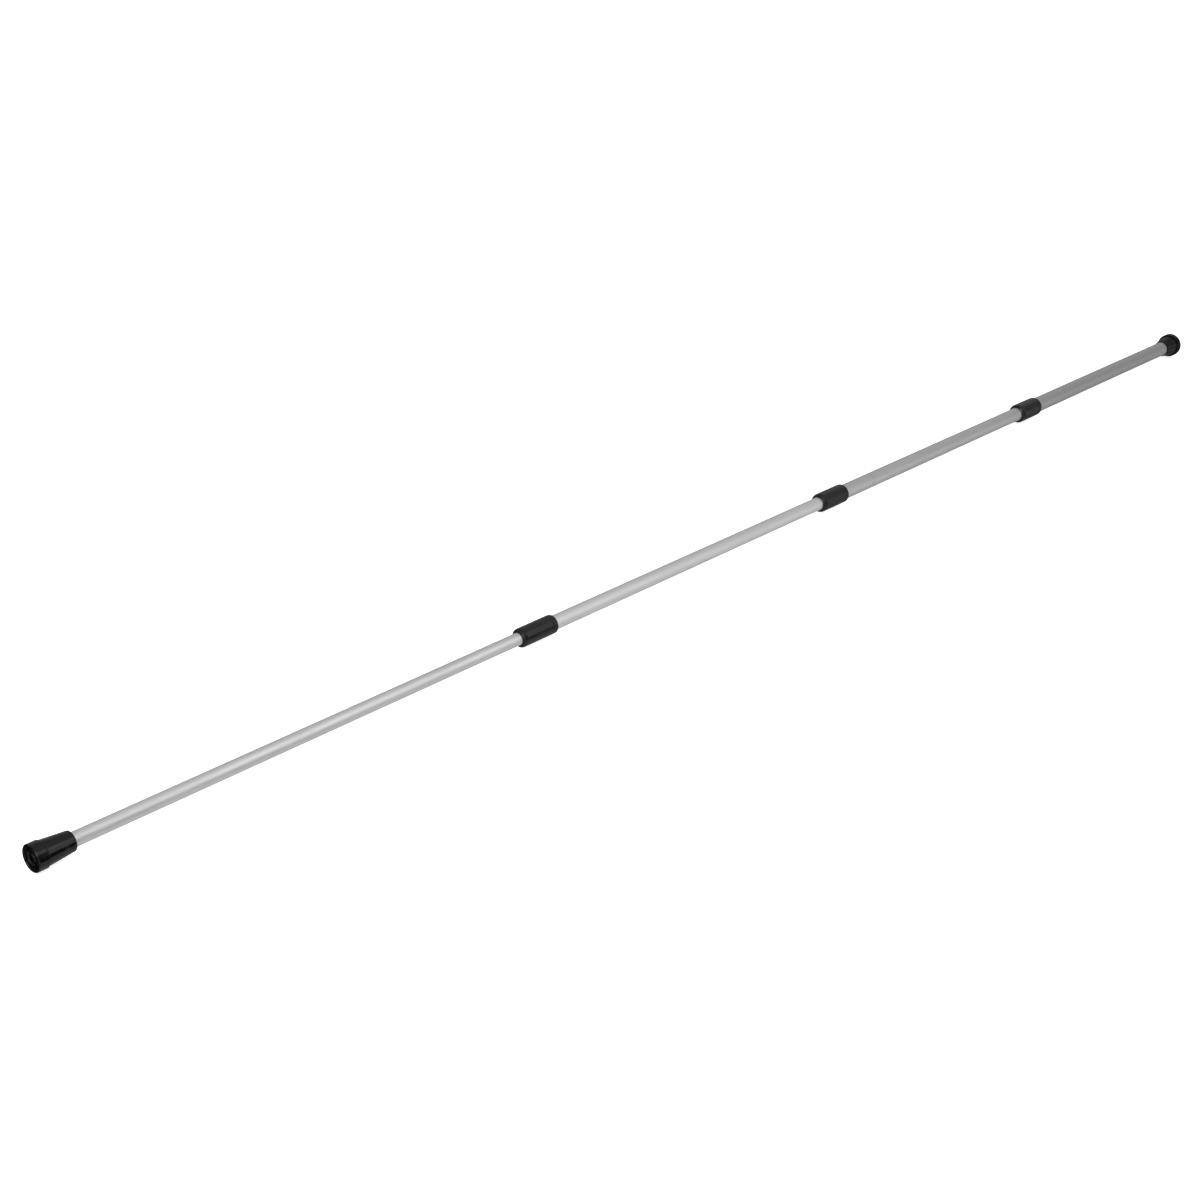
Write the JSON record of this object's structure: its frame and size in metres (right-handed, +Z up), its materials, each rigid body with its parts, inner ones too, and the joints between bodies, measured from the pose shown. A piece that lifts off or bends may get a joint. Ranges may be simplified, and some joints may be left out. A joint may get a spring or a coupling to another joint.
{
  "type": "telescopic cargo bar",
  "caption": "Telescopic aluminium cargo bar with twist locks and a rubber foot at each end, wedged across a pickup bed.",
  "frame": {"origin": "middle of the fully pulled out bar, on the axis of the tubes", "axes": "+X along the bar from the slim end to the thick end, +Z up, the bar lying level"},
  "size_m": [2.454, 0.041, 0.041],
  "materials": {
    "anodised_tube": "satin silver anodised, drawn tube",
    "black_plastic": "satin moulded plastic",
    "black_rubber": "semi-matt moulded rubber",
    "steel": "zinc plated",
    "natural_nylon": "natural nylon, matt",
    "grey_acetal": "smooth acetal"
  },
  "bodies": {
    "outer_section": {"outer_tube": "anodised_tube", "large_foot": "black_rubber", "large_foot_washer": "steel", "outer_lock_body": "black_plastic", "outer_lock_collet": "natural_nylon"},
    "outer_nut": {"outer_lock_nut": "black_plastic", "outer_lock_wiper": "black_rubber"},
    "second_section": {"second_tube": "anodised_tube", "second_guide_sleeve": "grey_acetal", "second_end_plug": "black_plastic", "second_lock_body": "black_plastic", "second_lock_collet": "natural_nylon"},
    "second_nut": {"second_lock_nut": "black_plastic", "second_lock_wiper": "black_rubber"},
    "third_section": {"third_tube": "anodised_tube", "third_guide_sleeve": "grey_acetal", "third_end_plug": "black_plastic", "third_lock_body": "black_plastic", "third_lock_collet": "natural_nylon"},
    "third_nut": {"third_lock_nut": "black_plastic", "third_lock_wiper": "black_rubber"},
    "inner_section": {"inner_tube": "anodised_tube", "inner_guide_sleeve": "grey_acetal", "inner_end_plug": "black_plastic", "small_foot": "black_rubber", "small_foot_washer": "steel"}
  },
  "joints": [
    {"name": "second_tube_slide", "type": "slide", "parent": "outer_section", "child": "second_section", "axis": [1, 0, 0], "range_m": [0, 0.51]},
    {"name": "third_tube_slide", "type": "slide", "parent": "second_section", "child": "third_section", "axis": [1, 0, 0], "range_m": [0, 0.56]},
    {"name": "inner_tube_slide", "type": "slide", "parent": "third_section", "child": "inner_section", "axis": [1, 0, 0], "range_m": [0, 0.616]},
    {"name": "outer_lock_turn", "type": "hinge", "parent": "outer_section", "child": "outer_nut", "pos_m": [0.669, 0, 0], "axis": [-1, 0, 0], "range_deg": [0, 90]},
    {"name": "second_lock_turn", "type": "hinge", "parent": "second_section", "child": "second_nut", "pos_m": [0.097, 0, 0], "axis": [-1, 0, 0], "range_deg": [0, 90]},
    {"name": "third_lock_turn", "type": "hinge", "parent": "third_section", "child": "third_nut", "pos_m": [-0.531, 0, 0], "axis": [-1, 0, 0], "range_deg": [0, 90]}
  ]
}
